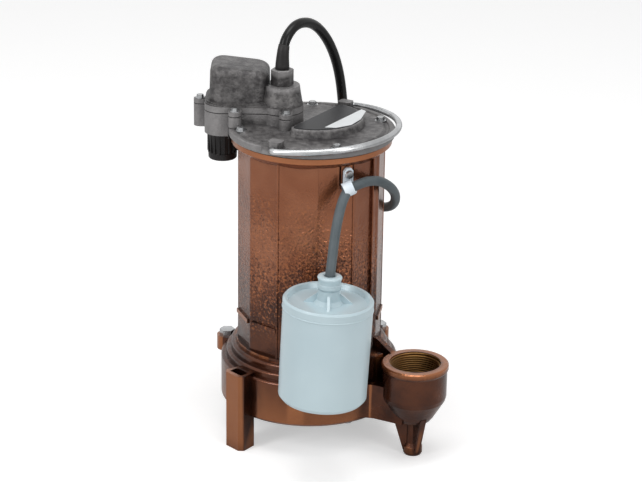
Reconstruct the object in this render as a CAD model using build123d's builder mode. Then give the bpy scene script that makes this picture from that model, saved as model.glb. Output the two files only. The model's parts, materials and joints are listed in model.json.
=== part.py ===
from build123d import *
import math
import os

# Submersible sump pump, millimetres, +Z up, standing on its three feet at z = 0.
# Everything is drawn about the motor axis (x = y = 0) and moved by ORIGIN_SHIFT on export,
# so that the file's origin is the centre of the pump's footprint box, on the floor.
ORIGIN_SHIFT = (-9.5, 32.5, 0)

# Driving dimensions -----------------------------------------------------------------
# motor housing
HOUSING_R = 68.5          # to the corners of the twelve-sided barrel
HOUSING_Z0 = 87           # underside, on the casing
HOUSING_Z1 = 290.5        # top of the flange
CAVITY_R = 60
FLANGE_R = 74.5
FLANGE_T = 5
FACET_TURN = 6            # degrees: one corner of the barrel lies this far right of the front
# volute casing
RING_R = 84
RING_Z0 = 31
RING_Z1 = 73
TIER_2_R = 79
TIER_2_Z = 80
TIER_3_R = 74.5
CHAMBER_R = 68
CHAMBER_Z0 = 36
CHAMBER_Z1 = 66
SPIGOT_R = 30
LEG_ANGLES = (223, 95)
LEG_OUT_R = 97
LEG_WIDTH = 25
# discharge, 1-1/2 in NPT
CUP_X, CUP_Y = 99, -70
CUP_R = 30
CUP_BORE_R = 23.9
CUP_TOP = 93
CUP_THREAD_Z0 = 63
SOCKET_SPLIT = 88        # where the discharge socket meets the volute, out from the motor axis
# rotating set
SHAFT_R = 7.5
BEARING_R = 17.5
BEARING_W = 11
LOWER_BEARING_Z = 88
UPPER_BEARING_Z = 252
ROTOR_R = 29.5
STATOR_BORE_R = 30.2
CORE_Z0, CORE_Z1 = 135, 215
# cover
COVER_R = 77
COVER_Z0 = 291.5
COVER_Z1 = 298.5
COVER_SCREW_R = 67
COVER_SCREW_ANGLES = (194, 90, 290, 18)
BOSS_TOP = 306
BOSS_R = 47
BOSS_X, BOSS_Y = 3, 7
CHORD_ANGLE = 59          # direction of the boss's straight edge
# bail handle
HINGE_ANGLE = 63
HINGE_Z = 297
WIRE_R = 3
BAIL_R = 80.5
BAIL_BEND = 5
BAIL_TILT = 3.4
PIN_IN_R = 65
# switch box on the left of the cover
BOX_SEAM = 309
BOX_TOP = 352
GLAND_X, GLAND_Y = -28, 14
TOWER_TOP = 334
GLAND_TOP = 349
EAR_X, EAR_Y = -105, 34
BOOT_X, BOOT_Y = -84, 33
# cord clamp on the barrel
CLAMP_ANGLE = 298.5
CLAMP_SCREW_Z = 273.5
# cords
CORD_R = 4.75
LEAD_R = 4.5
# float
PIVOT = (34, -75, 264)
FLOAT_R = 41
FLOAT_H = 98
FLOAT_TOP = (17.5, -121, 177)
FLOAT_LEAN = 2.6
# coil of the power cord, lying behind the pump
COIL_Y = 186
COIL_TURN_RADII = (47.25, 56.75)
COIL_LAYERS = 4
STUB = 36

BASE = (Align.CENTER, Align.CENTER, Align.MIN)
POWER_ROUTE = [
    (-28, 14, 349), (-28, 14, 364), (-25, 18, 378), (-15, 32, 388), (0, 52, 383), (14, 70, 362),
    (24, 84, 332), (29, 92, 296), (31, 97, 255), (31, 100, 210), (32, 103, 165), (35, 107, 120),
    (40, 112, 80), (47, 118, 45), (53, 127, 17), (56.75, 138, 4.75), (56.75, 150, 4.75),
]
LEAD_ROUTE = [
    (29, -76, 262), (39, -74, 266), (50, -65, 268), (62, -51, 264), (73, -33, 252), (79, -10, 236),
    (79, 15, 218), (72, 39, 205), (55, 60, 200), (30, 75, 204), (0, 81, 214), (-28, 78, 228),
    (-52, 68, 247), (-61, 62, 265), (-61, 62, 282),
]
TETHER_ROUTE = [
    (29.5, -81, 257), (26.5, -88, 248), (23.5, -98, 236), (21.3, -108, 222), (19.8, -116.5, 209),
    (18.65, -121, 201), (18.2, -121, 192),
]


def save(piece, name):
    """Label one finished piece, move it to the file's origin and write its STEP."""
    shifted = piece.moved(Location(ORIGIN_SHIFT))
    shifted.label = name
    export_step(shifted, f"parts/{name}.step")


def polar(radius, angle, z=0.0):
    """A point at a radius and an angle in degrees about the motor axis."""
    return (radius * math.cos(math.radians(angle)), radius * math.sin(math.radians(angle)), z)


def corner_radii(points, share=0.45):
    """The fillet radius of each inner corner: a share of the shorter run over tan(half the turn)."""
    radii = []
    for a, b, c in zip(points, points[1:], points[2:]):
        before = Vector(*b) - Vector(*a)
        after = Vector(*c) - Vector(*b)
        turn = math.radians(before.get_angle(after))
        radii.append(share * min(before.length, after.length) / math.tan(turn / 2))
    return radii


def cord_tube(points, radius):
    """A round tube of straight runs joined by tangent arcs."""
    with BuildPart() as tube:
        with BuildLine() as path:
            FilletPolyline(*points, radius=corner_radii(points))
        with BuildSketch(path.line ^ 0):
            Circle(radius)
        sweep(path=path.line)
    return tube.part


def hexagon_head(across_flats):
    """The corner radius of a hexagon with the given width across its flats."""
    return across_flats / math.sqrt(3)


os.makedirs("parts", exist_ok=True)

# Volute casing: stepped ring, pump chamber, discharge cup on a webbed foot, two legs -------
discharge_angle = math.degrees(math.atan2(CUP_Y, CUP_X))
cup_distance = math.hypot(CUP_X, CUP_Y)
discharge_plane = Plane(origin=(0, 0, 0), x_dir=polar(1, discharge_angle), z_dir=(0, 0, 1))

with BuildPart() as casing:
    # ring with two steps up to the motor housing
    with BuildSketch(Plane.XZ):
        with BuildLine():
            Polyline(
                (0, RING_Z0), (RING_R - 2.5, RING_Z0), (RING_R, RING_Z0 + 2.5), (RING_R, RING_Z1),
                (TIER_2_R, RING_Z1), (TIER_2_R, TIER_2_Z), (TIER_3_R, TIER_2_Z),
                (TIER_3_R, HOUSING_Z0), (0, HOUSING_Z0), close=True,
            )
        make_face()
    revolve()
    step_edges = casing.edges().filter_by(GeomType.CIRCLE).filter_by(
        lambda e: e.arc_center.Z > RING_Z1 - 1 and e.radius > TIER_3_R - 1
    )
    upper_edges = [e for e in step_edges
                   if (abs(e.radius - RING_R) < 0.1 and abs(e.arc_center.Z - RING_Z1) < 0.1)
                   or (abs(e.radius - TIER_2_R) < 0.1 and abs(e.arc_center.Z - TIER_2_Z) < 0.1)
                   or (abs(e.radius - TIER_3_R) < 0.1 and abs(e.arc_center.Z - HOUSING_Z0) < 0.1)]
    fillet(upper_edges, 2.6)
    # discharge passage outside the ring
    with BuildSketch(discharge_plane.offset(RING_Z0 + 5)):
        with BuildLine():
            Polyline((60, -38), (92, -24), (cup_distance, -20), (cup_distance, 20), (92, 22),
                     (60, 38), close=True)
        make_face()
    extrude(amount=34)
    # sloping web from the ring's shoulder to the back of the cup
    web_plane = Plane(origin=(0, 0, 0), x_dir=polar(1, discharge_angle),
                      z_dir=polar(1, discharge_angle - 90))
    with BuildSketch(web_plane.offset(-9)):
        with BuildLine():
            Polyline((71, 60), (71, 104), (75, 104), (cup_distance - 22, CUP_TOP - 4),
                     (cup_distance - 22, 60), close=True)
        make_face()
    extrude(amount=6)
    # block beside the passage
    with BuildSketch(Plane(origin=(0, 0, 60), x_dir=polar(1, discharge_angle - 8), z_dir=(0, 0, 1))):
        with Locations((82, 0)):
            Rectangle(14, 13)
    extrude(amount=35)
    # legs, each a bar with a pocket in its top
    for angle in LEG_ANGLES:
        leg_plane = Plane(origin=(0, 0, 0), x_dir=polar(1, angle), z_dir=(0, 0, 1))
        with BuildSketch(leg_plane):
            with BuildLine():
                Polyline((78, -LEG_WIDTH / 2 + 3), (LEG_OUT_R - 4, -LEG_WIDTH / 2),
                         (LEG_OUT_R, -LEG_WIDTH / 2 + 4), (LEG_OUT_R, LEG_WIDTH / 2 - 4),
                         (LEG_OUT_R - 4, LEG_WIDTH / 2), (78, LEG_WIDTH / 2 - 3), close=True)
            make_face()
        extrude(amount=RING_Z1 + 3)
        with BuildSketch(leg_plane.offset(RING_Z1 - 9)):
            with Locations((88.5, 0)):
                RectangleRounded(9, LEG_WIDTH - 9, 2)
        extrude(amount=20, mode=Mode.SUBTRACT)
    # bolt lugs on the back of the ring
    for angle in (158, 38):
        with BuildSketch(Plane(origin=(0, 0, 61), x_dir=polar(1, angle), z_dir=(0, 0, 1))):
            with Locations((86, 0)):
                Circle(10)
            with Locations((78, 0)):
                Rectangle(16, 20)
        extrude(amount=14)
    # discharge cup and its tapering foot
    with BuildSketch(Plane(origin=(CUP_X, CUP_Y, 0), x_dir=(1, 0, 0), z_dir=(0, -1, 0))):
        with BuildLine():
            Polyline((0, 36), (16, 36), (19, 40), (CUP_R - 1, 57), (CUP_R, 61), (CUP_R, CUP_TOP - 7),
                     (CUP_R + 1.2, CUP_TOP - 5), (CUP_R + 1.2, CUP_TOP - 1), (CUP_R, CUP_TOP),
                     (0, CUP_TOP), close=True)
        make_face()
        with BuildLine():
            Polyline((0, 0), (8, 0), (9, 2), (9, 8), (6.5, 12), (6.5, 42), (0, 42), close=True)
        make_face()
    revolve(axis=Axis((CUP_X, CUP_Y, 0), (0, 0, 1)))
    for web_angle in (55, 175, 295):
        with BuildSketch(Plane(origin=(CUP_X, CUP_Y, 0), x_dir=polar(1, web_angle),
                               z_dir=polar(1, web_angle - 90))):
            with BuildLine():
                Polyline((0, 4), (9, 4), (20.5, 42), (0, 42), close=True)
            make_face()
        extrude(amount=3, both=True)
    # chamber, its way out, the bore through the roof and the seat of the suction plate
    with Locations((0, 0, CHAMBER_Z0)):
        Cylinder(CHAMBER_R, CHAMBER_Z1 - CHAMBER_Z0, align=BASE, mode=Mode.SUBTRACT)
    with Locations((0, 0, RING_Z0)):
        Cylinder(RING_R - 5, CHAMBER_Z0 - RING_Z0, align=BASE, mode=Mode.SUBTRACT)
    with Locations((0, 0, CHAMBER_Z1)):
        Cylinder(SPIGOT_R, 40, align=BASE, mode=Mode.SUBTRACT)
    with BuildSketch(discharge_plane.offset(RING_Z0 + 10)):
        with Locations((92, 0)):
            Rectangle(60, 28)
    extrude(amount=22, mode=Mode.SUBTRACT)
    with Locations((CUP_X, CUP_Y, RING_Z0 + 12)):
        Cylinder(17.5, 40, align=BASE, mode=Mode.SUBTRACT)
    with Locations((CUP_X, CUP_Y, CUP_THREAD_Z0)):
        Cylinder(CUP_BORE_R, 40, align=BASE, mode=Mode.SUBTRACT)
    # small vent hole in the wall of the chamber, and the bolt holes of the lugs
    with BuildSketch(Plane(origin=polar(60, 262, 55), z_dir=polar(1, 262))):
        Circle(2.5)
    extrude(amount=40, mode=Mode.SUBTRACT)
    for angle in (158, 38):
        with Locations(polar(86, angle, 55)):
            Cylinder(4.3, 30, align=BASE, mode=Mode.SUBTRACT)
    for angle in (60, 180, 300):
        with Locations(polar(73.5, angle, CHAMBER_Z0 - 1)):
            Cylinder(2, 12, align=BASE, mode=Mode.SUBTRACT)
socket_joint = Plane(origin=polar(SOCKET_SPLIT, discharge_angle), z_dir=polar(1, discharge_angle))
with BuildPart() as volute:
    add(casing.part)
    split(bisect_by=socket_joint, keep=Keep.BOTTOM)
with BuildPart() as socket:
    add(casing.part)
    split(bisect_by=socket_joint, keep=Keep.TOP)
save(volute.part, "volute_casing")
save(socket.part, "discharge_socket")

with BuildPart() as lug_bolts:
    for angle in (158, 38):
        with Locations(polar(86, angle, 58)):
            Cylinder(4.3, 17, align=BASE)
        with BuildSketch(Plane(origin=polar(86, angle, 75), z_dir=(0, 0, 1))):
            RegularPolygon(hexagon_head(13), 6)
        extrude(amount=5.5)
save(lug_bolts.part, "casing_lug_bolts")

# Suction plate under the impeller --------------------------------------------------------
with BuildPart() as suction_plate:
    with BuildSketch(Plane.XY.offset(RING_Z0)):
        Circle(RING_R - 5)
        Circle(24, mode=Mode.SUBTRACT)
        with PolarLocations(73.5, 3, start_angle=60):
            Circle(2.6, mode=Mode.SUBTRACT)
    extrude(amount=CHAMBER_Z0 - RING_Z0)
    fillet(suction_plate.edges().filter_by(GeomType.CIRCLE).filter_by(
        lambda e: abs(e.radius - 24) < 0.1).sort_by(Axis.Z)[0], 2.5)
save(suction_plate.part, "suction_plate")

with BuildPart() as plate_screws:
    with BuildSketch(Plane.XY.offset(RING_Z0)):
        with PolarLocations(73.5, 3, start_angle=60):
            Circle(2)
    extrude(amount=14)
    with BuildSketch(Plane.XY.offset(RING_Z0 - 3)):
        with PolarLocations(73.5, 3, start_angle=60):
            Circle(4.4)
    extrude(amount=3)
save(plate_screws.part, "suction_plate_screws")

# Motor housing: twelve-sided barrel, spigot below, flange above --------------------------
with BuildPart() as housing:
    with BuildSketch(Plane.XY.offset(HOUSING_Z0)):
        RegularPolygon(HOUSING_R, 12, rotation=270 + FACET_TURN)
        fillet(vertices(), 5)
    extrude(amount=HOUSING_Z1 - HOUSING_Z0)
    with Locations((0, 0, HOUSING_Z0)):
        Cylinder(HOUSING_R + 1.5, 3.5, align=BASE)
    with BuildSketch(Plane.XZ):
        with BuildLine():
            Polyline((60, HOUSING_Z1 - 14), (66, HOUSING_Z1 - 12), (FLANGE_R, HOUSING_Z1 - FLANGE_T),
                     (FLANGE_R, HOUSING_Z1), (60, HOUSING_Z1), close=True)
        make_face()
    revolve()
    # parting ribs down the barrel
    for rib_angle, rib_width, rib_z0 in ((-26, 2.6, 90), (21.5, 1.6, 90), (35, 2.2, 90), (58, 4.5, 90),
                                         (97, 3, 90), (150, 3, 90), (-118, 3, 90)):
        rib_plane = Plane(origin=(0, 0, rib_z0), x_dir=polar(1, 270 + rib_angle), z_dir=(0, 0, 1))
        with BuildSketch(rib_plane):
            with Locations((65, 0)):
                RectangleRounded(8, rib_width, 0.75)
        extrude(amount=HOUSING_Z1 - 4 - rib_z0)
    # raised pad under the flange and the boss of the cord clamp
    with BuildSketch(Plane(origin=(0, 0, 241), x_dir=polar(1, 270 + 13.5), z_dir=(0, 0, 1))):
        with Locations((63.5, 0)):
            Rectangle(9, 18)
    extrude(amount=45)
    with BuildSketch(Plane(origin=(0, 0, 262), x_dir=polar(1, 270 + 28.5), z_dir=(0, 0, 1))):
        with Locations((64, 0)):
            RectangleRounded(9, 12, 1)
    extrude(amount=24)
    # beads across the lower barrel
    for bead_angle in (-69, -39, 81, 141, 201):
        with BuildSketch(Plane(origin=polar(60, 270 + bead_angle),
                               x_dir=polar(1, 270 + bead_angle + 90), z_dir=(0, 0, 1)).offset(116)):
            with Locations((0, 0)):
                Rectangle(30, 16.2)
        extrude(amount=4)
    # spigot
    with Locations((0, 0, CHAMBER_Z1)):
        Cylinder(SPIGOT_R, HOUSING_Z0 - CHAMBER_Z1, align=BASE)
    # motor cavity, bearing seat, shaft bore and seal pocket
    with Locations((0, 0, 99)):
        Cylinder(CAVITY_R, 200, align=BASE, mode=Mode.SUBTRACT)
    with Locations((0, 0, LOWER_BEARING_Z)):
        Cylinder(BEARING_R, 20, align=BASE, mode=Mode.SUBTRACT)
    with Locations((0, 0, 70)):
        Cylinder(9.5, 30, align=BASE, mode=Mode.SUBTRACT)
    with Locations((0, 0, CHAMBER_Z1)):
        Cylinder(14, 8, align=BASE, mode=Mode.SUBTRACT)
    for angle in COVER_SCREW_ANGLES:
        with Locations(polar(COVER_SCREW_R, angle, HOUSING_Z1 - 10)):
            Cylinder(1.9, 12, align=BASE, mode=Mode.SUBTRACT)
    with BuildSketch(Plane(origin=polar(58, CLAMP_ANGLE, CLAMP_SCREW_Z), z_dir=polar(1, CLAMP_ANGLE))):
        Circle(2.2)
    extrude(amount=20, mode=Mode.SUBTRACT)
save(housing.part, "motor_housing")

with BuildPart() as cover_gasket:
    with BuildSketch(Plane.XY.offset(HOUSING_Z1)):
        Circle(FLANGE_R - 0.5)
        Circle(CAVITY_R, mode=Mode.SUBTRACT)
        with Locations([polar(COVER_SCREW_R, angle)[:2] for angle in COVER_SCREW_ANGLES]):
            Circle(2.4, mode=Mode.SUBTRACT)
    extrude(amount=COVER_Z0 - HOUSING_Z1)
save(cover_gasket.part, "cover_gasket")

# Rotating set: shaft, rotor, impeller, nut and seal ring ------------------------------------
with BuildPart() as shaft:
    with Locations((0, 0, 46)):
        Cylinder(SHAFT_R, UPPER_BEARING_Z + BEARING_W + 2 - 46, align=BASE)
    with Locations((0, 0, 38)):
        Cylinder(5, 8, align=BASE)
    chamfer(shaft.edges().sort_by(Axis.Z)[-1], 1)
save(shaft.part, "rotor_shaft")

with BuildPart() as impeller:
    with Locations((0, 0, 56)):
        Cylinder(56, 4, align=BASE)
    with Locations((0, 0, 46)):
        Cylinder(13, 14, align=BASE)
    with BuildSketch(Plane.XY.offset(43)):
        with PolarLocations(33, 6):
            Rectangle(42, 3.5)
    extrude(amount=13)
    with Locations((0, 0, 40)):
        Cylinder(SHAFT_R, 30, align=BASE, mode=Mode.SUBTRACT)
save(impeller.part, "impeller")

with BuildPart() as impeller_nut:
    with BuildSketch(Plane.XY.offset(39)):
        RegularPolygon(hexagon_head(17), 6)
        Circle(5, mode=Mode.SUBTRACT)
    extrude(amount=6.9)
save(impeller_nut.part, "impeller_nut")

with BuildPart() as seal_ring:
    with BuildSketch(Plane.XY.offset(60.2)):
        Circle(12)
        Circle(SHAFT_R, mode=Mode.SUBTRACT)
    extrude(amount=5.7)
save(seal_ring.part, "shaft_seal_ring")

with BuildPart() as seal_seat:
    with BuildSketch(Plane.XY.offset(CHAMBER_Z1)):
        Circle(14)
        Circle(9, mode=Mode.SUBTRACT)
    extrude(amount=4)
save(seal_seat.part, "shaft_seal_seat")


def bearing(z):
    """A deep-groove ball bearing, its shields flush, with running clearance on the shaft."""
    with BuildPart() as ring:
        with BuildSketch(Plane.XY.offset(z)):
            Circle(BEARING_R)
            Circle(SHAFT_R + 0.05, mode=Mode.SUBTRACT)
        extrude(amount=BEARING_W)
        for level in (z, z + BEARING_W - 0.8):
            with BuildSketch(Plane.XY.offset(level)):
                Circle(BEARING_R - 3)
                Circle(SHAFT_R + 2.5, mode=Mode.SUBTRACT)
            extrude(amount=0.8, mode=Mode.SUBTRACT)
    return ring.part


save(bearing(LOWER_BEARING_Z), "lower_bearing")
save(bearing(UPPER_BEARING_Z), "upper_bearing")

with BuildPart() as bearing_bridge:
    with BuildSketch(Plane.XY.offset(UPPER_BEARING_Z)):
        Circle(BEARING_R + 5)
        Rectangle(2 * CAVITY_R - 4, 20)
        Circle(BEARING_R, mode=Mode.SUBTRACT)
    extrude(amount=BEARING_W)
    with BuildSketch(Plane.XY.offset(UPPER_BEARING_Z + BEARING_W)):
        Circle(BEARING_R + 5)
        Circle(SHAFT_R + 2, mode=Mode.SUBTRACT)
    extrude(amount=4)
    with BuildSketch(Plane.XY.offset(CORE_Z1)):
        with Locations((CAVITY_R - 5.5, 0), (5.5 - CAVITY_R, 0)):
            Circle(4)
    extrude(amount=UPPER_BEARING_Z - CORE_Z1)
save(bearing_bridge.part, "upper_bearing_bridge")

with BuildPart() as rotor:
    with BuildSketch(Plane.XY.offset(CORE_Z0 - 2)):
        Circle(ROTOR_R)
        Circle(SHAFT_R, mode=Mode.SUBTRACT)
    extrude(amount=CORE_Z1 - CORE_Z0 + 4)
    chamfer(rotor.edges().filter_by(GeomType.CIRCLE).filter_by(lambda e: e.radius > ROTOR_R - 0.1), 1)
save(rotor.part, "rotor_core")

with BuildPart() as stator:
    with BuildSketch(Plane.XY.offset(CORE_Z0)):
        Circle(CAVITY_R - 0.2)
        Circle(STATOR_BORE_R, mode=Mode.SUBTRACT)
        with PolarLocations(CAVITY_R, 4, start_angle=45):
            Rectangle(6, 14, mode=Mode.SUBTRACT)
    extrude(amount=CORE_Z1 - CORE_Z0)
save(stator.part, "stator_core")

with BuildPart() as windings:
    for z in (CORE_Z0 - 22, CORE_Z1):
        with BuildSketch(Plane.XY.offset(z)):
            Circle(49)
            Circle(35, mode=Mode.SUBTRACT)
        extrude(amount=22)
    fillet(windings.edges().filter_by(GeomType.CIRCLE).group_by(Axis.Z)[0], 4)
    fillet(windings.edges().filter_by(GeomType.CIRCLE).group_by(Axis.Z)[-1], 4)
save(windings.part, "stator_windings")

with BuildPart() as protector:
    with BuildSketch(Plane.XY.offset(CORE_Z1 + 22)):
        with Locations((0, 42)):
            RectangleRounded(24, 11, 3)
    extrude(amount=8)
save(protector.part, "thermal_protector")

# Top cover with its label boss and the two ears of the bail ---------------------------------
boss_plane = Plane(origin=(BOSS_X, BOSS_Y, COVER_Z1 - 1), x_dir=polar(1, CHORD_ANGLE), z_dir=(0, 0, 1))


def d_shape(radius, chord_y):
    """A disc cut off straight along its left-hand side, in the boss's own plane."""
    with BuildSketch() as shape:
        Circle(radius)
        with Locations((0, chord_y + 100)):
            Rectangle(200, 200, mode=Mode.SUBTRACT)
    return shape.sketch


with BuildPart() as cover:
    with BuildSketch(Plane.XZ):
        with BuildLine():
            Polyline((0, COVER_Z0), (COVER_R - 1, COVER_Z0), (COVER_R, COVER_Z0 + 1), (COVER_R, COVER_Z1 - 1),
                     (COVER_R - 1, COVER_Z1), (COVER_R - 5, COVER_Z1), (COVER_R - 6, COVER_Z1 - 1.2),
                     (COVER_R - 8, COVER_Z1 - 1.2), (COVER_R - 11, COVER_Z1 + 0.5),
                     (0, COVER_Z1 + 0.5), close=True)
        make_face()
    revolve()
    with BuildSketch(boss_plane):
        add(d_shape(BOSS_R, 3))
        fillet(vertices(), 7)
    extrude(amount=BOSS_TOP - COVER_Z1 + 1, taper=18)
    for side in (HINGE_ANGLE, HINGE_ANGLE + 180):
        with BuildSketch(Plane(origin=(0, 0, COVER_Z0), x_dir=polar(1, side), z_dir=(0, 0, 1))):
            with Locations((69.5, 0)):
                RectangleRounded(11, 13, 3)
        extrude(amount=12.5)
        with BuildSketch(Plane(origin=polar(0, side, HINGE_Z), x_dir=(0, 0, 1), z_dir=polar(1, side)).offset(61)):
            Circle(WIRE_R + 0.06)
        extrude(amount=20, mode=Mode.SUBTRACT)
        # flat on the rim where the wire bends round the ear
        with BuildSketch(Plane(origin=(0, 0, COVER_Z0 - 1), x_dir=polar(1, side), z_dir=(0, 0, 1))):
            with Locations((85.2, 0)):
                Rectangle(20, 34)
        extrude(amount=20, mode=Mode.SUBTRACT)
    for angle in COVER_SCREW_ANGLES:
        with Locations(polar(COVER_SCREW_R, angle, COVER_Z0)):
            Cylinder(2.4, 30, align=BASE, mode=Mode.SUBTRACT)
        with Locations(polar(COVER_SCREW_R, angle, COVER_Z1 - 1)):
            Cylinder(5.6, 10, align=BASE, mode=Mode.SUBTRACT)
save(cover.part, "top_cover")

with BuildPart() as cover_screws:
    for angle in COVER_SCREW_ANGLES:
        x, y, z = polar(COVER_SCREW_R, angle, COVER_Z1 - 1)
        with Locations((x, y, z)):
            Cylinder(5.4, 1.2, align=BASE)
        with Locations((x, y, HOUSING_Z1 - 9.5)):
            Cylinder(1.9, z - HOUSING_Z1 + 9.6, align=BASE)
        with BuildSketch(Plane(origin=(x, y, z + 1.2), z_dir=(0, 0, 1))):
            RegularPolygon(hexagon_head(7), 6)
        extrude(amount=3.2, taper=8)
save(cover_screws.part, "cover_screws")

with BuildPart() as nameplate:
    with BuildSketch(Plane(origin=(BOSS_X, BOSS_Y, BOSS_TOP), x_dir=polar(1, CHORD_ANGLE), z_dir=(0, 0, 1))):
        add(d_shape(BOSS_R - 4.5, -1))
        fillet(vertices(), 4)
    extrude(amount=0.6)
save(nameplate.part, "nameplate")

# Bail handle: one bent wire, its ends turned in as hinge pins ---------------------------------
bend_x = math.sqrt((BAIL_R - BAIL_BEND) ** 2 - BAIL_BEND ** 2)
bend_end = (bend_x * BAIL_R / (BAIL_R - BAIL_BEND), BAIL_BEND * BAIL_R / (BAIL_R - BAIL_BEND))
bend_mid_angle = (-90 + math.degrees(math.atan2(BAIL_BEND, bend_x))) / 2
bend_mid = (bend_x + BAIL_BEND * math.cos(math.radians(bend_mid_angle)),
            BAIL_BEND + BAIL_BEND * math.sin(math.radians(bend_mid_angle)))
tilt = math.radians(BAIL_TILT)
across = polar(1, HINGE_ANGLE - 90)
bail_plane = Plane(
    origin=(0, 0, HINGE_Z), x_dir=polar(1, HINGE_ANGLE),
    z_dir=Vector(*polar(1, HINGE_ANGLE)).cross(
        Vector(across[0] * math.cos(tilt), across[1] * math.cos(tilt), math.sin(tilt))),
)
with BuildPart() as bail:
    with BuildLine(bail_plane) as wire:
        Line((PIN_IN_R, 0), (bend_x, 0))
        ThreePointArc((bend_x, 0), bend_mid, bend_end)
        ThreePointArc(bend_end, (0, BAIL_R), (-bend_end[0], bend_end[1]))
        ThreePointArc((-bend_end[0], bend_end[1]), (-bend_mid[0], bend_mid[1]), (-bend_x, 0))
        Line((-bend_x, 0), (-PIN_IN_R, 0))
    with BuildSketch(wire.line ^ 0):
        Circle(WIRE_R)
    sweep(path=wire.line)
save(bail.part, "bail_handle")

# Switch box: base and cover with the gland tower ---------------------------------------------
BOX_SCREWS = ((EAR_X, EAR_Y), (-71, -7), (-24, -13), (-71, 67), (-32, 65))
BOX_MID_Y = 30


def box_outline(grow):
    """The box's plan: a rounded rectangle, the tower's round end and a lug at each screw."""
    with BuildSketch() as outline:
        with Locations((-63, BOX_MID_Y)):
            RectangleRounded(72 + 2 * grow, 60 + 2 * grow, 16)
        with Locations((GLAND_X, GLAND_Y)):
            Circle(19 + grow)
        with Locations((-38, BOX_MID_Y)):
            RectangleRounded(34 + grow, 50 + 2 * grow, 10)
    return outline.sketch


def screw_lugs():
    """A round lug at each screw of the box, tied to the outline by a bridge."""
    with BuildSketch() as lugs:
        with Locations(*BOX_SCREWS):
            Circle(6)
        with Locations((-99, EAR_Y)):
            Rectangle(12, 12)
        for x, y in BOX_SCREWS[1:]:
            with Locations((x, y + (5 if y < BOX_MID_Y else -5))):
                Rectangle(12, 10)
    return lugs.sketch


with BuildPart() as switch_base:
    with BuildSketch(Plane.XY.offset(COVER_Z1 - 11)):
        add(box_outline(1))
        add(screw_lugs())
    extrude(amount=BOX_SEAM - COVER_Z1 + 11)
    with Locations((0, 0, COVER_Z0 - 10)):
        Cylinder(COVER_R + 0.3, COVER_Z1 + 0.5 - COVER_Z0 + 10, align=BASE, mode=Mode.SUBTRACT)
    with BuildSketch(Plane.XY.offset(COVER_Z1 + 4)):
        add(box_outline(-5))
    extrude(amount=30, mode=Mode.SUBTRACT)
    with Locations(*[(x, y, BOX_SEAM - 8) for x, y in BOX_SCREWS]):
        Cylinder(1.9, 20, align=BASE, mode=Mode.SUBTRACT)
    with Locations((BOOT_X, BOOT_Y, 280)):
        Cylinder(7, 40, align=BASE, mode=Mode.SUBTRACT)
    with Locations((-61, 62, 280)):
        Cylinder(6.2, 14, align=BASE, mode=Mode.SUBTRACT)
save(switch_base.part, "switch_base")

with BuildPart() as box_gasket:
    with BuildSketch(Plane.XY.offset(BOX_SEAM)):
        add(box_outline(0.5))
        add(box_outline(-5), mode=Mode.SUBTRACT)
    extrude(amount=0.8)
save(box_gasket.part, "switch_box_gasket")

SKIRT_Z0 = BOX_SEAM + 0.8
STEP_Z = 319
with BuildPart() as box_body:
    with BuildSketch(Plane.XY.offset(SKIRT_Z0)):
        with Locations((-67.5, BOX_MID_Y)):
            RectangleRounded(57, 54, 15)
    extrude(amount=BOX_TOP - SKIRT_Z0 + 5, taper=2)
    top_plane = Plane(origin=(-88, 0, BOX_TOP - 0.5), x_dir=(1, 0, -0.11), z_dir=(0.11, 0, 1))
    split(bisect_by=top_plane, keep=Keep.BOTTOM)
    fillet(box_body.faces().sort_by(Axis.Z)[-1].edges(), 7)

with BuildPart() as switch_cover:
    for grow, level in ((1, STEP_Z - 3.4), (0.4, STEP_Z - 2), (-0.7, STEP_Z - 0.8), (-2.2, STEP_Z)):
        with BuildSketch(Plane.XY.offset(SKIRT_Z0)):
            add(box_outline(grow))
        extrude(amount=level - SKIRT_Z0)
    with BuildSketch(Plane.XY.offset(SKIRT_Z0)):
        add(screw_lugs())
    extrude(amount=4)
    add(box_body.part)
    with BuildSketch(Plane(origin=(GLAND_X, GLAND_Y, STEP_Z - 2), z_dir=(0, 0, 1))):
        Circle(19)
    extrude(amount=TOWER_TOP - STEP_Z + 2, taper=9)
    with BuildSketch(Plane.XY.offset(SKIRT_Z0)):
        add(box_outline(-5))
    extrude(amount=STEP_Z - 4 - SKIRT_Z0, mode=Mode.SUBTRACT)
    with BuildSketch(Plane.XY.offset(SKIRT_Z0)):
        with Locations((-67.5, BOX_MID_Y)):
            RectangleRounded(46, 42, 9)
    extrude(amount=31, mode=Mode.SUBTRACT)
    with Locations((GLAND_X, GLAND_Y, SKIRT_Z0)):
        Cylinder(8, 60, align=BASE, mode=Mode.SUBTRACT)
    with Locations(*[(x, y, SKIRT_Z0) for x, y in BOX_SCREWS]):
        Cylinder(2.4, 4, align=BASE, mode=Mode.SUBTRACT)
save(switch_cover.part, "switch_cover")

with BuildPart() as box_screws:
    for x, y in BOX_SCREWS:
        with Locations((x, y, BOX_SEAM - 7)):
            Cylinder(1.9, SKIRT_Z0 + 4 - BOX_SEAM + 7, align=BASE)
        with Locations((x, y, SKIRT_Z0 + 4)):
            Cylinder(4.6, 1, align=BASE)
        with BuildSketch(Plane(origin=(x, y, SKIRT_Z0 + 5), z_dir=(0, 0, 1))):
            RegularPolygon(hexagon_head(6), 6)
        extrude(amount=2.6, taper=8)
save(box_screws.part, "switch_box_screws")

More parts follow.
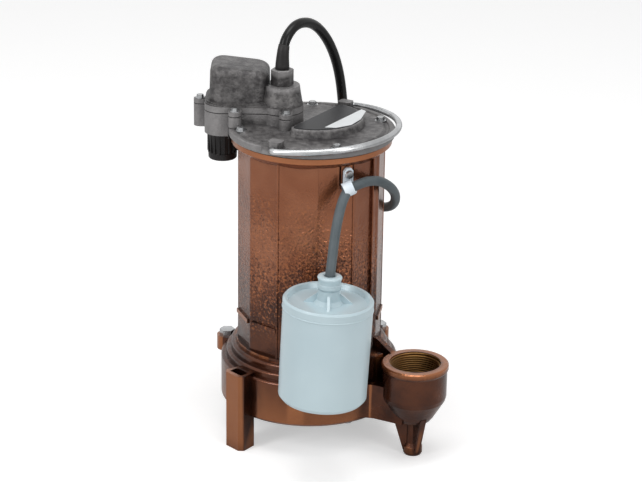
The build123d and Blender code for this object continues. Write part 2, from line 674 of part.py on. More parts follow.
# Gland of the power cord ------------------------------------------------------------------------
gland_plane = Plane(origin=(GLAND_X, GLAND_Y, TOWER_TOP), x_dir=(1, 0, 0), z_dir=(0, 0, 1))
with BuildPart() as gland_nut:
    with BuildSketch(gland_plane):
        RegularPolygon(hexagon_head(18.4), 6, rotation=8)
    extrude(amount=GLAND_TOP - TOWER_TOP)
    chamfer(gland_nut.faces().sort_by(Axis.Z)[-1].edges(), 0.8)
    with BuildSketch(gland_plane.offset(-12)):
        Circle(8)
    extrude(amount=12)
    with BuildSketch(gland_plane.offset(-12)):
        Circle(6.2)
    extrude(amount=60, mode=Mode.SUBTRACT)
save(gland_nut.part, "gland_nut")

with BuildPart() as grommet:
    with BuildSketch(gland_plane.offset(-12)):
        Circle(6.2)
    extrude(amount=GLAND_TOP - TOWER_TOP + 12)
save(grommet.part, "gland_grommet")

# Ribbed boot in the second cable port, under the box -----------------------------------------
with BuildPart() as boot:
    boot_top = COVER_Z1 - 11
    with BuildSketch(Plane(origin=(BOOT_X, BOOT_Y, 0), x_dir=(1, 0, 0), z_dir=(0, -1, 0))):
        with BuildLine():
            Polyline((0, 256), (12.6, 256), (13.4, 257), (13.6, 262), (12.8, 263), (14.6, boot_top),
                     (7, boot_top), (7, boot_top + 9), (0, boot_top + 9), close=True)
        make_face()
    revolve(axis=Axis((BOOT_X, BOOT_Y, 0), (0, 0, 1)))
    with BuildSketch(Plane(origin=(BOOT_X, BOOT_Y, 263), z_dir=(0, 0, 1))):
        with PolarLocations(13.2, 18):
            RectangleRounded(2.4, 1.8, 0.5)
    extrude(amount=boot_top - 263)
save(boot.part, "port_boot")

# Inside the switch box ---------------------------------------------------------------------------
with BuildPart() as capacitor:
    with BuildSketch(Plane.XZ.offset(-17)):
        with Locations((-80, 322)):
            Circle(9.4)
    extrude(amount=-26)
save(capacitor.part, "run_capacitor")

with BuildPart() as relay:
    with Locations((-58, BOX_MID_Y, COVER_Z1 + 4)):
        Box(24, 30, 32, align=BASE)
    chamfer(relay.edges().filter_by(Axis.Z), 1.5)
save(relay.part, "start_relay")

with BuildPart() as lead_gland:
    with BuildSketch(Plane(origin=(-61, 62, 282), z_dir=(0, 0, 1))):
        Circle(6.2)
    extrude(amount=10)
save(lead_gland.part, "float_lead_gland")

# Cord clamp on the barrel ------------------------------------------------------------------------
clamp_out = polar(1, CLAMP_ANGLE)
loop_dir = (Vector(*LEAD_ROUTE[1]) - Vector(*LEAD_ROUTE[0])).normalized()
loop_plane = Plane(origin=PIVOT, z_dir=loop_dir)
with BuildPart() as clamp:
    with BuildSketch(loop_plane.offset(-4.5)):
        Circle(LEAD_R + 2.2)
    extrude(amount=9)
    with BuildSketch(Plane(origin=polar(69, CLAMP_ANGLE, CLAMP_SCREW_Z), x_dir=(0, 0, 1), z_dir=clamp_out)):
        with BuildLine():
            Polyline((-16, -4.5), (3, -4.5), (6, -2.2), (6, 2.2), (3, 4.5), (-16, 4.5), close=True)
        make_face()
    extrude(amount=3)
    with BuildSketch(Plane(origin=polar(70, CLAMP_ANGLE, CLAMP_SCREW_Z), x_dir=(0, 0, 1), z_dir=clamp_out)):
        with Locations((-12.5, 0)):
            Rectangle(7, 9)
    extrude(amount=9)
    with BuildSketch(loop_plane.offset(-12)):
        Circle(LEAD_R + 0.02)
    extrude(amount=24, mode=Mode.SUBTRACT)
    with BuildSketch(Plane(origin=polar(60, CLAMP_ANGLE, CLAMP_SCREW_Z), z_dir=clamp_out)):
        Circle(2.3)
    extrude(amount=20, mode=Mode.SUBTRACT)
save(clamp.part, "cord_clamp")

screw_plane = Plane(origin=polar(72, CLAMP_ANGLE, CLAMP_SCREW_Z), z_dir=clamp_out)
with BuildPart() as clamp_screw:
    with BuildSketch(screw_plane.offset(-12)):
        Circle(2.2)
    extrude(amount=12)
    with BuildSketch(screw_plane):
        Circle(4.2)
    extrude(amount=2.4, taper=20)
save(clamp_screw.part, "clamp_screw")

save(cord_tube(LEAD_ROUTE, LEAD_R), "float_lead")

# Float: shell, cap with the cord neck, switch capsule and its rolling ball ------------------------
float_top = Plane(origin=FLOAT_TOP, x_dir=(math.cos(math.radians(FLOAT_LEAN)), 0, -math.sin(math.radians(FLOAT_LEAN))),
                  z_dir=(math.sin(math.radians(FLOAT_LEAN)), 0, math.cos(math.radians(FLOAT_LEAN))))
float_side = Plane(origin=FLOAT_TOP, x_dir=float_top.x_dir, z_dir=(0, -1, 0))
float_axis = Axis(FLOAT_TOP, float_top.z_dir)
CAP_H = 9
with BuildPart() as float_shell:
    with BuildSketch(float_side):
        with BuildLine():
            Polyline((0, -FLOAT_H), (FLOAT_R - 4, -FLOAT_H), (FLOAT_R - 0.8, -FLOAT_H + 4),
                     (FLOAT_R - 0.3, -CAP_H), (FLOAT_R - 3, -CAP_H), (FLOAT_R - 3.5, -FLOAT_H + 4),
                     (0, -FLOAT_H + 3), close=True)
        make_face()
    revolve(axis=float_axis)
    fillet(float_shell.edges().filter_by(GeomType.CIRCLE).sort_by(Axis.Z)[0], 1.5)
save(float_shell.part, "float_body")

with BuildPart() as float_cap:
    with BuildSketch(float_side):
        with BuildLine():
            Polyline((0, -CAP_H), (FLOAT_R, -CAP_H), (FLOAT_R, -2), (FLOAT_R - 1.6, 0),
                     (FLOAT_R - 4, -0.4), (FLOAT_R - 6, -4.5), (13.5, -4.5), (10.5, -1), (9.6, 9),
                     (10.8, 10.5), (10.8, 14), (9.8, 15), (0, 15), close=True)
        make_face()
    revolve(axis=float_axis)
    for gusset_angle in (0, 90, 180, 270):
        gusset_dir = float_top.x_dir.rotate(Axis((0, 0, 0), float_top.z_dir), gusset_angle)
        with BuildSketch(Plane(origin=FLOAT_TOP, x_dir=gusset_dir, z_dir=gusset_dir.cross(float_top.z_dir))):
            with BuildLine():
                Polyline((5, -5), (23, -5), (10, 5), (5, 5), close=True)
            make_face()
        extrude(amount=1.3, both=True)
    with BuildSketch(float_top.offset(-CAP_H - 1)):
        Circle(FLOAT_R - 9)
    extrude(amount=3, mode=Mode.SUBTRACT)
save(float_cap.part, "float_cap")

with BuildPart() as capsule:
    with BuildSketch(float_top.offset(-70)):
        Circle(15)
    extrude(amount=70 - CAP_H + 1.9)
    with BuildSketch(float_top.offset(-68)):
        Circle(8.3)
    extrude(amount=32, mode=Mode.SUBTRACT)
save(capsule.part, "float_switch_capsule")

with BuildPart() as ball:
    add(Sphere(8, mode=Mode.PRIVATE).moved(Location(float_top.from_local_coords((0, 0, -59.9)))))
save(ball.part, "float_switch_ball")

save(cord_tube(TETHER_ROUTE, LEAD_R), "float_tether")
save(cord_tube(POWER_ROUTE, CORD_R), "power_cord")

# Coil of the power cord, its tie and its plug ------------------------------------------------------
coil_in = COIL_TURN_RADII[0] - CORD_R
coil_out = COIL_TURN_RADII[1] + CORD_R
coil_height = 2 * CORD_R * COIL_LAYERS
exit_z = 3 * CORD_R
tail_y = COIL_Y - STUB
with BuildPart() as coil:
    with BuildSketch(Plane(origin=(0, COIL_Y, 0), x_dir=(1, 0, 0), z_dir=(0, -1, 0))):
        with Locations(((coil_in + coil_out) / 2, coil_height / 2)):
            RectangleRounded(coil_out - coil_in, coil_height, 3.2)
    revolve(axis=Axis((0, COIL_Y, 0), (0, 0, 1)))
    with BuildSketch(Plane(origin=(COIL_TURN_RADII[1], COIL_Y, CORD_R), z_dir=(0, -1, 0))):
        Circle(CORD_R - 0.02)
    extrude(amount=STUB)
    with BuildSketch(Plane(origin=(-COIL_TURN_RADII[1], COIL_Y, exit_z), z_dir=(0, -1, 0))):
        Circle(CORD_R)
    extrude(amount=STUB)
save(coil.part, "cord_coil")

with BuildPart() as tie:
    with BuildSketch(Plane(origin=(0, COIL_Y + (coil_in + coil_out) / 2, coil_height / 2), z_dir=(1, 0, 0),
                           x_dir=(0, 1, 0))):
        RectangleRounded(coil_out - coil_in + 2.4, coil_height + 2.4, CORD_R)
        RectangleRounded(coil_out - coil_in, coil_height, 3.2, mode=Mode.SUBTRACT)
    extrude(amount=3, both=True)
    with Locations((0, COIL_Y, 0)):
        Box(200, 200, 10, align=(Align.CENTER, Align.CENTER, Align.MAX), mode=Mode.SUBTRACT)
save(tie.part, "cord_tie")

plug_tail = Plane(origin=(-COIL_TURN_RADII[1], tail_y, exit_z), x_dir=(1, 0, 0), z_dir=(0, -1, 0))
with BuildPart() as plug:
    with BuildSketch(plug_tail):
        Circle(CORD_R + 0.6)
    with BuildSketch(plug_tail.offset(20)):
        Circle(7.5)
    loft()
    with BuildSketch(plug_tail.offset(20)):
        RectangleRounded(20, 18, 6)
    with BuildSketch(plug_tail.offset(28)):
        RectangleRounded(27, 25, 8)
    loft()
    with BuildSketch(plug_tail.offset(28)):
        RectangleRounded(27, 25, 8)
    extrude(amount=18)
save(plug.part, "plug_body")

with BuildPart() as blades:
    with BuildSketch(plug_tail.offset(46)):
        with Locations((-6.35, 3), (6.35, 3)):
            Rectangle(1.5, 6.3)
        with Locations((0, -8)):
            Circle(2.4)
    extrude(amount=17)
save(blades.part, "plug_blades")
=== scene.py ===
import json
import math

import bmesh
import bpy
from mathutils import Matrix, Vector


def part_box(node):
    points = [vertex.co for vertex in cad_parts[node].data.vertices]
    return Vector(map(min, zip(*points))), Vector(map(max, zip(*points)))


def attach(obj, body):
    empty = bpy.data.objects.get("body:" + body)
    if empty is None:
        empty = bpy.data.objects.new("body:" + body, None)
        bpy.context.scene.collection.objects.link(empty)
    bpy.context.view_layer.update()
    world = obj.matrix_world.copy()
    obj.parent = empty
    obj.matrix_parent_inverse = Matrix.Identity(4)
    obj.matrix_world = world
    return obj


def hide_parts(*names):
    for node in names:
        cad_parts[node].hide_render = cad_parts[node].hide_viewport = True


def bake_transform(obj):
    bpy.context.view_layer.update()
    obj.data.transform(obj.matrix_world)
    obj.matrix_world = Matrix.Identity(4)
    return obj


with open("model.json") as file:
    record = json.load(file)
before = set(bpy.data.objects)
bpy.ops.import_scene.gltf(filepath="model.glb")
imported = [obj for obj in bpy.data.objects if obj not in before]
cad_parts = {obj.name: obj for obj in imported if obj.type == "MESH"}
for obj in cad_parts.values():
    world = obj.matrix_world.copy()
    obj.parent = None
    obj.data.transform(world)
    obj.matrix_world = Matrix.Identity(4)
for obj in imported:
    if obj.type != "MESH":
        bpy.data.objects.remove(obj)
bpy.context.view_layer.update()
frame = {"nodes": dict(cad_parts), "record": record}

# The part's source is drawn about the motor axis, in millimetres; this is where that axis stands here.
MOTOR_AXIS = Vector((-0.0095, 0.0325, 0.0))


def from_motor(point):
    """Millimetres from the motor axis to metres in this frame."""
    return Vector(point) / 1000 + MOTOR_AXIS


# Routes, the same points as in the part's source --------------------------------------
POWER_ROUTE = [
    (-28, 14, 349), (-28, 14, 364), (-25, 18, 378), (-15, 32, 388), (0, 52, 383), (14, 70, 362),
    (24, 84, 332), (29, 92, 296), (31, 97, 255), (31, 100, 210), (32, 103, 165), (35, 107, 120),
    (40, 112, 80), (47, 118, 45), (53, 127, 17), (56.75, 138, 4.75), (56.75, 150, 4.75),
]
LEAD_ROUTE = [
    (29, -76, 262), (39, -74, 266), (50, -65, 268), (62, -51, 264), (73, -33, 252), (79, -10, 236),
    (79, 15, 218), (72, 39, 205), (55, 60, 200), (30, 75, 204), (0, 81, 214), (-28, 78, 228),
    (-52, 68, 247), (-61, 62, 265), (-61, 62, 282),
]
TETHER_ROUTE = [
    (29.5, -81, 257), (26.5, -88, 248), (23.5, -98, 236), (21.3, -108, 222), (19.8, -116.5, 209),
    (18.65, -121, 201), (18.2, -121, 192),
]
TETHER_START = (33.5, -75.6, 263)      # inside the cord clamp
CORD_R = 4.75
LEAD_R = 4.5
COIL_Y = 186
COIL_RADII = (47.25, 56.75)            # inner and outer column of turns
COIL_STUB = 36                         # straight run from the coil to the plug
FLOAT_TOP = from_motor((17.5, -121, 177))
FLOAT_LEAN = math.radians(2.6)
CUP_CENTRE = from_motor((99, -70, 93))


# Shader writing ------------------------------------------------------------------------------------
# Output numbers of the nodes used.
OBJECT_COORDS = 3
POINTINESS = 7
CAMERA_RAY, GLOSSY_RAY, TRANSMISSION_RAY = 0, 3, 6


class Sock:
    """A shader socket that takes part in Python arithmetic by adding Math nodes."""

    def __init__(self, tree, socket):
        self.tree = tree
        self.socket = socket

    def node(self, kind, values=(), out=0, **settings):
        """Add a node of a kind, set its settings, feed its sockets and return one output."""
        made = self.tree.nodes.new(kind)
        for key, value in settings.items():
            setattr(made, key, value)
        for name, value in dict(values).items():
            self.plug(value, made.inputs[name])
        return Sock(self.tree, made.outputs[out])

    def plug(self, value, target):
        """Link a socket, or write a plain value, into a node's or shader's input."""
        if isinstance(value, Sock):
            self.tree.links.new(value.socket, target)
        elif isinstance(value, tuple) and target.type == "RGBA":
            target.default_value = (*value, 1)
        else:
            target.default_value = value

    def math(self, operation, *operands):
        return self.node("ShaderNodeMath", dict(enumerate(operands)), operation=operation)

    def __add__(self, other):
        return self.math("ADD", self, other)

    def __radd__(self, other):
        return self.math("ADD", other, self)

    def __sub__(self, other):
        return self.math("SUBTRACT", self, other)

    def __rsub__(self, other):
        return self.math("SUBTRACT", other, self)

    def __mul__(self, other):
        return self.math("MULTIPLY", self, other)

    def __rmul__(self, other):
        return self.math("MULTIPLY", other, self)

    def __truediv__(self, other):
        return self.math("DIVIDE", self, other)

    def band(self, low, high):
        """0 below low, 1 above high, smooth between them."""
        return self.node(
            "ShaderNodeMapRange", {"Value": self, "From Min": low, "From Max": high},
            interpolation_type="SMOOTHSTEP", clamp=True,
        )


def new_material(name):
    """A fresh material; returns it, its Principled node and a starting socket for expressions."""
    material = bpy.data.materials.new(name)
    material.use_nodes = True
    shader = material.node_tree.nodes["Principled BSDF"]
    return material, shader, Sock(material.node_tree, None)


def place(start):
    """Object position in metres: the same at any view."""
    return start.node("ShaderNodeTexCoord", out=OBJECT_COORDS)


def noise(start, where, scale, detail=3.0, roughness=0.55):
    return start.node(
        "ShaderNodeTexNoise",
        {"Vector": where, "Scale": scale, "Detail": detail, "Roughness": roughness},
    )


def mix_colour(start, factor, first, second):
    """Blend two colours; the numbers are the Mix node's colour sockets."""
    return start.node("ShaderNodeMix", {0: factor, 6: first, 7: second}, out=2, data_type="RGBA")


def height_of(start, where):
    """Height above the floor."""
    return start.node("ShaderNodeSeparateXYZ", {"Vector": where}, out=2)


def bump(start, height, strength, distance):
    return start.node(
        "ShaderNodeBump", {"Height": height, "Strength": strength, "Distance": distance}
    )


def feed(start, shader, **inputs):
    """Link or set the shader's inputs, named with underscores for spaces."""
    for key, value in inputs.items():
        start.plug(value, shader.inputs[key.replace("_", " ")])


def hollow_shade(start):
    """1 in hollows and inner corners, 0 on open faces."""
    occlusion = start.node("ShaderNodeAmbientOcclusion", {"Distance": 0.012}, out=1)
    return 1 - occlusion


def bronze_coat():
    """Metallic bronze coat: glassy above, broken into beads of orange peel lower down; its colour holds a
    painted reflection, bright above and dark at the foot, with painted glints, painted edge highlights and
    painted shade in hollows.
    """
    material, shader, start = new_material("bronze_coat")
    where = place(start)
    height = height_of(start, where)
    drift = noise(start, where, 11.0, 1.0)
    beads = noise(start, where, 430.0, 2.0, 0.5)
    specks = noise(start, where, 760.0, 1.0, 0.5)
    level = height + (drift - 0.5) * 0.16
    peel_zone = level.band(0.255, 0.215) * level.band(0.085, 0.125)
    broken = (beads - 0.5) * 0.17 + (specks - 0.5) * 0.08
    # Painted reflection: the colour turns from a bright reflected bronze above to a dark reflected bronze
    # towards the foot, with the border broken up by the orange peel.
    painted_reflection_mask = (level + broken * (0.18 + peel_zone * 0.9)).band(0.145, 0.215)
    dark_reflection_bronze = mix_colour(start, noise(start, where, 34.0, 4.0).band(0.35, 0.68),
                      (0.040, 0.0115, 0.0055), (0.098, 0.030, 0.012))
    bright_reflection_bronze = mix_colour(start, noise(start, where, 16.0, 2.0).band(0.3, 0.7),
                      (0.205, 0.062, 0.024), (0.31, 0.118, 0.058))
    # Painted glints: lighter bronze spots on the orange-peel beads, painted into the colour.
    painted_glint = beads.band(0.52, 0.68) * peel_zone * 0.45
    # Colour with the painted reflection: dark reflected bronze below, bright reflected bronze above.
    colour = mix_colour(start, painted_reflection_mask, dark_reflection_bronze, bright_reflection_bronze)
    colour = mix_colour(start, painted_glint, colour, (0.46, 0.16, 0.055))
    # Painted highlight: convex edges are mixed towards a lighter bronze.
    edge = start.node("ShaderNodeNewGeometry", out=POINTINESS).band(0.515, 0.575)
    colour = mix_colour(start, edge * 0.6, colour, (0.46, 0.17, 0.065))
    colour = mix_colour(start, hollow_shade(start) * 0.75, colour, (0.022, 0.008, 0.004))
    relief = beads * (0.10 + peel_zone * 0.90) + specks * 0.12 + noise(start, where, 70.0) * 0.5
    feed(start, shader, Base_Color=colour, Metallic=0.8,
         Roughness=0.19 + noise(start, where, 60.0) * 0.12,
         Normal=bump(start, relief, 0.75, 0.0016))
    shader.inputs["Coat Weight"].default_value = 0.25
    shader.inputs["Coat Roughness"].default_value = 0.08
    return material


def casting_grey():
    """Satin dark coat over a sand casting, with painted highlights lighter on its edges and painted shade in
    its hollows.
    """
    material, shader, start = new_material("dark_casting")
    where = place(start)
    cloud = noise(start, where, 22.0, 5.0, 0.6)
    mottle = noise(start, where, 150.0, 4.0, 0.6)
    colour = mix_colour(start, (cloud * 0.5 + mottle * 0.5).band(0.38, 0.62),
                        (0.042, 0.039, 0.040), (0.165, 0.158, 0.156))
    # Painted highlight: convex edges are mixed towards a lighter grey.
    edge = start.node("ShaderNodeNewGeometry", out=POINTINESS).band(0.515, 0.57)
    colour = mix_colour(start, edge * 0.6, colour, (0.30, 0.29, 0.29))
    colour = mix_colour(start, hollow_shade(start) * 0.7, colour, (0.012, 0.011, 0.012))
    grain = noise(start, where, 520.0, 2.0, 0.6)
    feed(start, shader, Base_Color=colour, Metallic=0.35,
         Roughness=0.33 + mottle * 0.22,
         Normal=bump(start, grain + mottle * 1.4 + cloud, 0.6, 0.0009))
    shader.inputs["Specular IOR Level"].default_value = 0.35
    return material


def simple(name, low, high, roughness, metallic=0.0, grain=500.0, depth=0.25, coat=0.0,
           cloud_scale=30.0, specular=0.5):
    """A clouded two-tone finish with a fine surface grain."""
    material, shader, start = new_material(name)
    where = place(start)
    cloud = noise(start, where, cloud_scale, 4.0)
    feed(start, shader, Base_Color=mix_colour(start, cloud.band(0.3, 0.7), low, high),
         Metallic=metallic, Roughness=roughness - 0.06 + cloud * 0.12,
         Normal=bump(start, noise(start, where, grain, 2.0), depth, 0.0003))
    shader.inputs["Coat Weight"].default_value = coat
    shader.inputs["Specular IOR Level"].default_value = specular
    return material


MATERIALS = {
    "bronze_coat": bronze_coat(),
    "dark_casting": casting_grey(),
    "plated_steel": simple("plated_steel", (0.34, 0.345, 0.35), (0.58, 0.59, 0.6), 0.27,
                           metallic=1.0, grain=700.0, depth=0.3),
    "steel": simple("steel", (0.35, 0.35, 0.36), (0.5, 0.5, 0.51), 0.35, metallic=1.0),
    "grey_iron": simple("grey_iron", (0.05, 0.05, 0.052), (0.1, 0.1, 0.1), 0.6,
                        metallic=0.4, grain=300.0, depth=0.5),
    "impeller_plastic": simple("impeller_plastic", (0.02, 0.02, 0.022), (0.04, 0.04, 0.042), 0.5),
    "seal_carbon": simple("seal_carbon", (0.02, 0.02, 0.02), (0.035, 0.035, 0.035), 0.4),
    "seal_ceramic": simple("seal_ceramic", (0.7, 0.69, 0.65), (0.78, 0.77, 0.73), 0.25),
    "copper_winding": simple("copper_winding", (0.35, 0.12, 0.05), (0.55, 0.2, 0.08), 0.35,
                             metallic=0.9, grain=900.0, depth=0.8),
    "black_plastic": simple("black_plastic", (0.012, 0.012, 0.013), (0.022, 0.022, 0.024), 0.42,
                            specular=0.25),
    "gasket_rubber": simple("gasket_rubber", (0.012, 0.011, 0.011), (0.026, 0.024, 0.024), 0.45,
                            grain=600.0, depth=0.4, specular=0.25),
    "nylon": simple("nylon", (0.62, 0.72, 0.8), (0.78, 0.84, 0.88), 0.38),
    "lead_jacket": simple("lead_jacket", (0.062, 0.078, 0.086), (0.098, 0.118, 0.128), 0.5,
                          grain=900.0, depth=0.3, specular=0.3),
    "float_plastic": simple("float_plastic", (0.46, 0.575, 0.62), (0.51, 0.625, 0.665), 0.36,
                            grain=800.0, depth=0.06, coat=0.15, cloud_scale=8.0),
    "capsule_plastic": simple("capsule_plastic", (0.5, 0.5, 0.48), (0.58, 0.58, 0.56), 0.45),
    "cord_jacket": simple("cord_jacket", (0.003, 0.003, 0.003), (0.006, 0.006, 0.006), 0.26,
                          grain=900.0, depth=0.1, specular=0.22),
    "tie_strap": simple("tie_strap", (0.02, 0.02, 0.02), (0.03, 0.03, 0.03), 0.45),
    "brass": simple("brass", (0.5, 0.34, 0.12), (0.68, 0.48, 0.2), 0.28, metallic=1.0),
    "thread": simple("thread", (0.20, 0.10, 0.03), (0.36, 0.19, 0.06), 0.38,
                     metallic=0.85, depth=0.4),
    "paper_label": simple("paper_label", (0.66, 0.68, 0.69), (0.72, 0.74, 0.75), 0.42,
                          grain=400.0, depth=0.1),
}
slot_of = {entry["node"]: entry["material_slot"] for entry in frame["record"]["subparts"]}


def dress_cad():
    """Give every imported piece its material."""
    for name, thing in frame["nodes"].items():
        thing.data.materials.clear()
        thing.data.materials.append(MATERIALS[slot_of[name]])


dress_cad()


# Shapes --------------------------------------------------------------------------------------------
def mesh_object(name, builder, material, body):
    """Run a bmesh builder and hang the result on a body."""
    mesh = bpy.data.meshes.new(name)
    work = bmesh.new()
    builder(work)
    bmesh.ops.recalc_face_normals(work, faces=work.faces)
    work.to_mesh(mesh)
    work.free()
    thing = bpy.data.objects.new(name, mesh)
    bpy.context.scene.collection.objects.link(thing)
    mesh.materials.append(MATERIALS[material])
    for face in mesh.polygons:
        face.use_smooth = True
    if body:
        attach(thing, body)
    return thing


def spline_object(name, points, radius, material):
    """One open NURBS curve of order 3 through the route's control points, in metres."""
    data = bpy.data.curves.new(name, "CURVE")
    data.dimensions = "3D"
    data.bevel_depth = radius
    data.bevel_resolution = 8
    data.resolution_u = 10
    data.use_fill_caps = True
    spline = data.splines.new("NURBS")
    spline.points.add(len(points) - 1)
    for control, point in zip(spline.points, points):
        control.co = (*point, 1)
    spline.order_u = 3
    spline.use_endpoint_u = True
    data.materials.append(MATERIALS[material])
    thing = bpy.data.objects.new(name, data)
    bpy.context.scene.collection.objects.link(thing)
    return thing


def spline_points(name, points):
    """Points along the smooth line of a route, read from its spline without a bevel."""
    thing = spline_object(name, points, 0.0, "cord_jacket")
    thing.data.use_fill_caps = False
    bpy.context.view_layer.update()
    shown = thing.evaluated_get(bpy.context.evaluated_depsgraph_get())
    mesh = bpy.data.meshes.new_from_object(shown)
    line = [vertex.co.copy() for vertex in mesh.vertices]
    bpy.data.objects.remove(thing)
    bpy.data.meshes.remove(mesh)
    return line


def tube_builder(line, radius, sides=20):
    """A bmesh builder for a closed round tube along a line."""
    def build(work):
        rings = []
        side = Vector((0.3, 0.5, 0.8)).cross(line[1] - line[0]).normalized()
        for index, point in enumerate(line):
            ahead = line[min(index + 1, len(line) - 1)] - line[max(index - 1, 0)]
            ahead.normalize()
            side = (side - ahead * side.dot(ahead)).normalized()
            other = ahead.cross(side)
            rings.append([
                work.verts.new(point + radius * (math.cos(a) * side + math.sin(a) * other))
                for a in (2 * math.pi * k / sides for k in range(sides))
            ])
        for first, second in zip(rings, rings[1:]):
            for k in range(sides):
                work.faces.new((first[k], first[(k + 1) % sides], second[(k + 1) % sides], second[k]))
        work.faces.new(list(reversed(rings[0])))
        work.faces.new(rings[-1])
    return build


# Power cord: the route, then coil turns up the inner column and down the outer one, then the plug --
TURN_POINTS = 16          # control points in a turn
HALF_TURNS = 15           # seven and a half turns
TURN_SLOTS = [(1, 0), (0, 0), (0, 1), (0, 2), (0, 3), (1, 3), (1, 2), (1, 1)]    # column, layer
CROSSING = 0.22           # share of a turn in which the cord moves to its next slot


def coil_points():
    """Control points of the coil, from the end of the route to the last half turn."""
    last = len(TURN_SLOTS) - 1
    made = []
    for step in range(1, TURN_POINTS * HALF_TURNS // 2 + 1):
        turn = step / TURN_POINTS
        index = min(int(turn), last)
        share = min(max((turn - index - (1 - CROSSING)) / CROSSING, 0), 1) if index < last else 0
        share = share * share * (3 - 2 * share)
        following = TURN_SLOTS[min(index + 1, last)]
        column = TURN_SLOTS[index][0] * (1 - share) + following[0] * share
        layer = TURN_SLOTS[index][1] * (1 - share) + following[1] * share
        radius = COIL_RADII[0] + (COIL_RADII[1] - COIL_RADII[0]) * column
        radius /= math.cos(math.pi / TURN_POINTS) ** 0.5
        angle = 2 * math.pi * turn
        made.append((radius * math.cos(angle), COIL_Y + radius * math.sin(angle),
                     CORD_R + 2 * CORD_R * layer))
    return made


def make_power_cord():
    """The whole power cord as one curve, from the gland to the plug."""
    entry = (COIL_RADII[1], COIL_Y - 14, CORD_R)
    tail = [(-COIL_RADII[1], COIL_Y - back, 3 * CORD_R) for back in (COIL_STUB / 2, COIL_STUB)]
    points = [from_motor(p) for p in (*POWER_ROUTE, entry, *coil_points(), *tail)]
    cord = spline_object("power_cord_flex", points, CORD_R / 1000, "cord_jacket")
    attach(cord, "pump")
    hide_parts("power_cord", "cord_coil")


make_power_cord()


# Float lead and tether -------------------------------------------------------------------------------
def grey_cord(name, points, body, node):
    """A float cord as a tube along its smooth line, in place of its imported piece."""
    line = spline_points(f"{name}_line", [from_motor(p) for p in points])
    tube = mesh_object(name, tube_builder(line, LEAD_R / 1000), "lead_jacket", body)
    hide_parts(node)
    return tube, line


def make_float_lead():
    """The held lead from the clamp round the barrel to the switch box."""
    lead, line = grey_cord("float_lead_flex", LEAD_ROUTE, "pump", "float_lead")


def make_float_tether():
    """The hanging tether between the clamp and the float's neck."""
    tether, line = grey_cord("float_tether_flex", [TETHER_START, *TETHER_ROUTE], None, "float_tether")
    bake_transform(tether)


make_float_lead()
make_float_tether()


# Thread in the discharge -------------------------------------------------------------------------------
def make_thread():
    """A helical ridge inside the discharge bore, fading out at both ends."""
    pitch = 2.21
    turns = 10
    per_turn = 48
    first_depth = 1.2
    root, crest = 23.75, 22.3

    def build(work):
        rows = []
        for step in range(turns * per_turn + 1):
            angle = 2 * math.pi * step / per_turn
            z = -first_depth - pitch * step / per_turn
            fade = min(1, step / per_turn, (turns * per_turn - step) / per_turn)
            inner = root + (crest - root) * fade
            row = []
            for radius, lift in ((root, 0.95), (inner, 0.15), (inner, -0.15), (root, -0.95)):
                offset = Vector((radius * math.cos(angle), radius * math.sin(angle), z + lift))
                row.append(work.verts.new(CUP_CENTRE + offset / 1000))
            rows.append(row)
        for first, second in zip(rows, rows[1:]):
            for k in range(4):
                work.faces.new((first[k], first[(k + 1) % 4], second[(k + 1) % 4], second[k]))
        work.faces.new(rows[0])
        work.faces.new(list(reversed(rows[-1])))

    mesh_object("discharge_thread", build, "thread", "pump")


make_thread()


# Float details ---------------------------------------------------------------------------------------
def float_ring(name, profile, sides=64):
    """Turn a closed profile of (radius, height above the float's top) about the float's leaning axis."""
    lean = Matrix.Rotation(FLOAT_LEAN, 3, "Y")

    def build(work):
        rows = []
        for k in range(sides):
            angle = 2 * math.pi * k / sides
            rows.append([
                work.verts.new(FLOAT_TOP + lean @ Vector(
                    (r * math.cos(angle), r * math.sin(angle), z)) / 1000)
                for r, z in profile
            ])
        count = len(profile)
        for k in range(sides):
            first, second = rows[k], rows[(k + 1) % sides]
            for j in range(count):
                work.faces.new((first[j], first[(j + 1) % count], second[(j + 1) % count], second[j]))

    mesh_object(name, build, "float_plastic", "float")


float_ring("float_seam_bead", [(40.7, -9.9), (41.25, -9.6), (41.4, -9.0), (41.25, -8.4), (40.7, -8.1)])
float_ring("float_neck_collar", [
    (4.75, 9.0), (10.6, 9.0), (10.4, 12.0), (10.3, 17.6), (10.8, 18.4), (11.2, 19.5), (10.8, 20.6),
    (9.6, 21.3), (6.0, 21.6), (4.9, 20.8),
])


def make_strain_relief():
    """A tapered rubber sleeve on the power cord where it leaves the gland."""
    # radius and distance along the cord from the gland, millimetres
    profile = [(4.9, -0.5), (6.6, -0.5), (6.5, 3), (6.3, 6), (5.9, 11), (5.5, 17), (5.2, 22), (4.9, 22.3)]
    line = spline_points("sleeve_line", [from_motor(p) for p in POWER_ROUTE[:6]])
    sides = 32
    reach = [0.0]
    for a, b in zip(line, line[1:]):
        reach.append(reach[-1] + (b - a).length)

    def along(distance):
        distance = max(distance, 0.0) / 1000
        for k in range(len(line) - 1):
            if reach[k + 1] >= distance:
                share = (distance - reach[k]) / (reach[k + 1] - reach[k])
                return line[k].lerp(line[k + 1], share), (line[k + 1] - line[k]).normalized()
        return line[-1], (line[-1] - line[-2]).normalized()

    def build(work):
        rows = []
        for r, z in profile:
            centre, ahead = along(z)
            start_side = rows[0][1] if rows else ahead.orthogonal()
            side = (start_side - ahead * start_side.dot(ahead)).normalized()
            other = ahead.cross(side)
            ring = [work.verts.new(centre + r / 1000 * (math.cos(a) * side + math.sin(a) * other))
                    for a in (2 * math.pi * k / sides for k in range(sides))]
            rows.append((ring, side))
        for (first, _), (second, _) in zip(rows, rows[1:] + rows[:1]):
            for k in range(sides):
                work.faces.new((first[k], first[(k + 1) % sides], second[(k + 1) % sides], second[k]))

    mesh_object("cord_strain_relief", build, "gasket_rubber", "pump")


make_strain_relief()


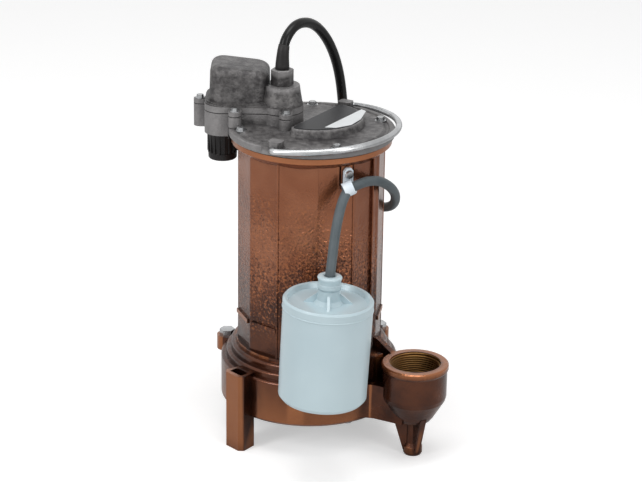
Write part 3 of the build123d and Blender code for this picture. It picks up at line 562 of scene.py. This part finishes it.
# Pale data strip on the nameplate, left blank --------------------------------------------------------------
def make_data_strip():
    """A thin pale plate along the curved side of the nameplate."""
    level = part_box("nameplate")[1].z + 0.00003
    thickness = 0.00025
    corners = [(12, -29), (46, 27), (50, 22), (45, -3), (36, -21), (22, -30)]

    def build(work):
        lower, upper = (
            [work.verts.new((*from_motor((x, y, 0))[:2], z)) for x, y in corners]
            for z in (level, level + thickness)
        )
        work.faces.new(lower)
        work.faces.new(upper)
        for k in range(len(corners)):
            j = (k + 1) % len(corners)
            work.faces.new((lower[k], lower[j], upper[j], upper[k]))

    strip = mesh_object("data_strip", build, "paper_label", "pump")
    for face in strip.data.polygons:
        face.use_smooth = False


make_data_strip()


# Floor, light, camera -------------------------------------------------------------------------------------
def floor_material():
    """Pale floor, lifted to white for the camera where it is lit, with its shadows kept."""
    material, shader, start = new_material("studio_floor")
    seen = start.node("ShaderNodeLightPath", out=CAMERA_RAY)
    lifted = mix_colour(start, seen, (0, 0, 0), (0.42, 0.42, 0.42))
    feed(start, shader, Base_Color=(0.8, 0.8, 0.8), Roughness=0.9, Emission_Color=lifted)
    shader.inputs["Emission Strength"].default_value = 1
    return material


def make_stage():
    """The floor, and a world that is white to the camera and to shine and softer as a lamp."""
    bpy.ops.mesh.primitive_plane_add(size=30, location=(0, 0, 0))
    floor = bpy.context.active_object
    floor.name = "studio_floor"
    floor.data.materials.append(floor_material())
    world = bpy.data.worlds.new("studio")
    bpy.context.scene.world = world
    world.use_nodes = True
    tree = world.node_tree
    background = tree.nodes["Background"]
    start = Sock(tree, None)
    direct = start.node("ShaderNodeLightPath", out=CAMERA_RAY)
    glossy = start.node("ShaderNodeLightPath", out=GLOSSY_RAY)
    clear = start.node("ShaderNodeLightPath", out=TRANSMISSION_RAY)
    seen = start.math("MAXIMUM", start.math("MAXIMUM", direct, glossy), clear)
    ambient = 0.42
    start.plug(ambient + seen * (1 - ambient), background.inputs["Strength"])
    background.inputs["Color"].default_value = (1, 1, 1, 1)


def area_light(name, place_at, target, power, width, height):
    """A soft box that points at a target."""
    data = bpy.data.lights.new(name, "AREA")
    data.shape = "RECTANGLE"
    data.size = width
    data.size_y = height
    data.energy = power
    lamp = bpy.data.objects.new(name, data)
    bpy.context.scene.collection.objects.link(lamp)
    lamp.location = place_at
    lamp.rotation_euler = (Vector(target) - Vector(place_at)).to_track_quat("-Z", "Y").to_euler()


def make_camera():
    """A long lens from the front, looking down a little and rolled by under a degree."""
    pitch = math.radians(20.8)
    roll = math.radians(0.85)
    distance = 2.1
    aim = from_motor((10, 0, 185))
    data = bpy.data.cameras.new("camera")
    data.lens = 125.05
    data.sensor_width = 36
    camera = bpy.data.objects.new("camera", data)
    bpy.context.scene.collection.objects.link(camera)
    camera.location = aim + distance * Vector((0, -math.cos(pitch), math.sin(pitch)))
    camera.rotation_euler = (math.pi / 2 - pitch, 0, 0)
    camera.rotation_euler = (
        camera.rotation_euler.to_matrix() @ Matrix.Rotation(roll, 3, "Z")
    ).to_euler()
    bpy.context.scene.camera = camera


make_stage()
make_camera()
middle = from_motor((0, 0, 180))
area_light("key_left", (-1.5, -1.2, 1.3), middle, 17, 0.45, 1.4)
area_light("key_right", (1.4, -1.5, 1.1), middle, 12, 0.4, 1.4)
area_light("top_soft", (0.0, -0.2, 2.0), middle, 14, 1.2, 0.9)
bpy.context.scene.view_settings.view_transform = "Standard"
